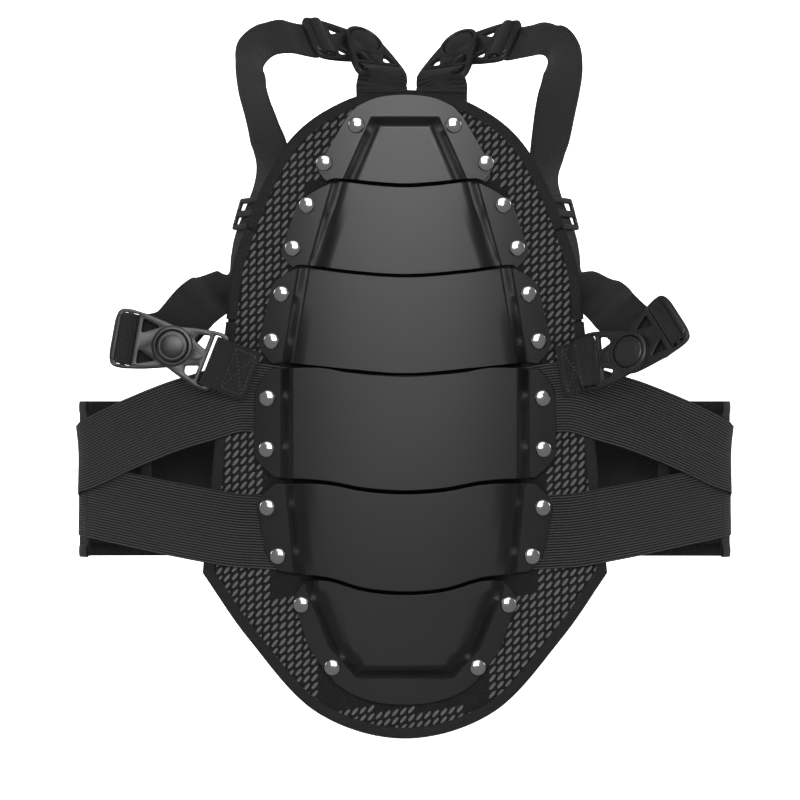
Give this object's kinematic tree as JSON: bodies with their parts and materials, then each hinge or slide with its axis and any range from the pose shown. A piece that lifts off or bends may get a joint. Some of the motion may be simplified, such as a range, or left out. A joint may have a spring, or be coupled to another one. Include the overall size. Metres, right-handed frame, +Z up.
{
  "type": "back protector",
  "caption": "Back protector: hard plates riveted in a row over a flexible foam pad, with elastic waist belt wings and shoulder straps on swivel buckles.",
  "frame": {"origin": "centre of the pad's inner face at mid-height, where it lies on the wearer's back", "axes": "+X to the wearer's right, +Y from the plates towards the wearer, +Z up the spine"},
  "size_m": [0.498, 0.1428, 0.5389],
  "materials": {
    "plate_plastic": "satin black moulded plastic",
    "rivet_chrome": "polished",
    "pad_foam": "closed-cell foam",
    "mesh_fabric": "open mesh with light slanted lozenges on a dark net",
    "lining_fabric": "knitted lining",
    "binding_tape": "woven edge binding",
    "webbing": "woven polyester webbing",
    "ribbed_elastic": "elastic with fine lengthwise ribs",
    "wing_fabric": "laminated fabric",
    "hook_tape": "hook and loop pile",
    "buckle_plastic": "moulded acetal with a low gloss"
  },
  "bodies": {
    "lumbar_section": {"plate_4": "plate_plastic", "plate_4_rivets": "rivet_chrome", "foam_block_4": "pad_foam", "outer_mesh_cover": "mesh_fabric", "inner_lining": "lining_fabric", "edge_binding": "binding_tape", "upper_belt_band": "ribbed_elastic", "lower_belt_band_left": "ribbed_elastic", "lower_belt_band_right": "ribbed_elastic", "belt_spreader_left": "binding_tape", "belt_spreader_right": "binding_tape", "side_anchor_webbing_left": "webbing", "side_anchor_webbing_right": "webbing", "buckle_frame_side_left": "buckle_plastic", "buckle_frame_side_right": "buckle_plastic"},
    "mid_back_section": {"plate_3": "plate_plastic", "plate_3_rivets": "rivet_chrome", "foam_block_3": "pad_foam", "lower_strap_left": "webbing", "lower_strap_right": "webbing"},
    "upper_back_section": {"plate_2": "plate_plastic", "plate_2_rivets": "rivet_chrome", "foam_block_2": "pad_foam"},
    "shoulder_section": {"plate_1": "plate_plastic", "plate_1_rivets": "rivet_chrome", "foam_block_1": "pad_foam", "top_anchor_webbing_left": "webbing", "top_anchor_webbing_right": "webbing", "buckle_frame_top_left": "buckle_plastic", "buckle_frame_top_right": "buckle_plastic", "shoulder_strap_left": "webbing", "shoulder_strap_right": "webbing"},
    "sacral_section": {"plate_5": "plate_plastic", "plate_5_rivets": "rivet_chrome", "foam_block_5": "pad_foam", "lower_belt_band_centre": "ribbed_elastic"},
    "tail_section": {"plate_6": "plate_plastic", "plate_6_rivets": "rivet_chrome", "foam_block_6": "pad_foam"},
    "left_wing": {"belt_wing_left": "wing_fabric", "hook_panel_left": "hook_tape"},
    "right_wing": {"belt_wing_right": "wing_fabric", "loop_panel_right": "hook_tape"},
    "adjuster_left": {"strap_adjuster_left": "buckle_plastic"},
    "adjuster_right": {"strap_adjuster_right": "buckle_plastic"},
    "lock_top_left": {"ladder_lock_top_left": "buckle_plastic", "shoulder_strap_end_left": "webbing"},
    "button_top_left": {"release_button_top_left": "buckle_plastic"},
    "lock_top_right": {"ladder_lock_top_right": "buckle_plastic", "shoulder_strap_end_right": "webbing"},
    "button_top_right": {"release_button_top_right": "buckle_plastic"},
    "lock_side_left": {"ladder_lock_side_left": "buckle_plastic", "lower_strap_end_left": "webbing"},
    "button_side_left": {"release_button_side_left": "buckle_plastic"},
    "lock_side_right": {"ladder_lock_side_right": "buckle_plastic", "lower_strap_end_right": "webbing"},
    "button_side_right": {"release_button_side_right": "buckle_plastic"}
  },
  "joints": [
    {"name": "flex_mid_back", "type": "hinge", "parent": "lumbar_section", "child": "mid_back_section", "pos_m": [0, -0.009, 0.033], "axis": [-1, 0, 0], "range_deg": [-3, 8], "stiffness_Nm_per_rad": 4, "deforming": ["outer_mesh_cover", "inner_lining", "edge_binding"]},
    {"name": "flex_upper_back", "type": "hinge", "parent": "mid_back_section", "child": "upper_back_section", "pos_m": [0, -0.009, 0.107], "axis": [-1, 0, 0], "range_deg": [-3, 8], "stiffness_Nm_per_rad": 4, "deforming": ["outer_mesh_cover", "inner_lining", "edge_binding"]},
    {"name": "flex_shoulder", "type": "hinge", "parent": "upper_back_section", "child": "shoulder_section", "pos_m": [0, -0.009, 0.172], "axis": [-1, 0, 0], "range_deg": [-3, 8], "stiffness_Nm_per_rad": 4, "deforming": ["outer_mesh_cover", "inner_lining", "edge_binding"]},
    {"name": "flex_sacral", "type": "hinge", "parent": "lumbar_section", "child": "sacral_section", "pos_m": [0, -0.009, -0.054], "axis": [1, 0, 0], "range_deg": [-3, 8], "stiffness_Nm_per_rad": 4, "deforming": ["outer_mesh_cover", "inner_lining", "edge_binding"]},
    {"name": "flex_tail", "type": "hinge", "parent": "sacral_section", "child": "tail_section", "pos_m": [0, -0.009, -0.127], "axis": [1, 0, 0], "range_deg": [-3, 8], "stiffness_Nm_per_rad": 4, "deforming": ["outer_mesh_cover", "inner_lining", "edge_binding"]},
    {"name": "left_wing_fold", "type": "hinge", "parent": "lumbar_section", "child": "left_wing", "pos_m": [-0.243, 0.058, -0.049], "axis": [0, 0, 1], "range_deg": [0, 120]},
    {"name": "right_wing_fold", "type": "hinge", "parent": "lumbar_section", "child": "right_wing", "pos_m": [0.243, 0.058, -0.049], "axis": [0, 0, -1], "range_deg": [0, 60]},
    {"name": "swivel_top_left", "type": "hinge", "parent": "shoulder_section", "child": "lock_top_left", "pos_m": [-0.032, 0.0055, 0.277], "axis": [0.4511, -0.5514, 0.7018], "range_deg": [-20, 20]},
    {"name": "press_top_left", "type": "slide", "parent": "shoulder_section", "child": "button_top_left", "axis": [-0.4511, 0.5514, -0.7018], "range_m": [0, 0.002], "stiffness_N_per_m": 600},
    {"name": "swivel_top_right", "type": "hinge", "parent": "shoulder_section", "child": "lock_top_right", "pos_m": [0.042, 0.0055, 0.275], "axis": [-0.4511, -0.5514, 0.7018], "range_deg": [-20, 20]},
    {"name": "press_top_right", "type": "slide", "parent": "shoulder_section", "child": "button_top_right", "axis": [0.4511, 0.5514, -0.7018], "range_m": [0, 0.002], "stiffness_N_per_m": 600},
    {"name": "swivel_side_left", "type": "hinge", "parent": "lumbar_section", "child": "lock_side_left", "pos_m": [-0.173, -0.007, 0.051], "axis": [-0.0499, -0.9975, 0.0499], "range_deg": [-20, 20]},
    {"name": "press_side_left", "type": "slide", "parent": "lumbar_section", "child": "button_side_left", "axis": [0.0499, 0.9975, -0.0499], "range_m": [0, 0.002], "stiffness_N_per_m": 600},
    {"name": "swivel_side_right", "type": "hinge", "parent": "lumbar_section", "child": "lock_side_right", "pos_m": [0.167, -0.03, 0.046], "axis": [-0.5525, -0.8037, 0.221], "range_deg": [-20, 20]},
    {"name": "press_side_right", "type": "slide", "parent": "lumbar_section", "child": "button_side_right", "axis": [0.5525, 0.8037, -0.221], "range_m": [0, 0.002], "stiffness_N_per_m": 600},
    {"name": "adjust_left", "type": "slide", "parent": "shoulder_section", "child": "adjuster_left", "axis": [0.355, -0.1092, 0.9285], "range_m": [-0.004, 0.01]},
    {"name": "adjust_right", "type": "slide", "parent": "shoulder_section", "child": "adjuster_right", "axis": [-0.3308, -0.1103, 0.9372], "range_m": [-0.004, 0.01]}
  ],
  "couplings": [
    {"joint": "right_wing_fold", "follows": "left_wing_fold", "ratio": 0.45}
  ]
}
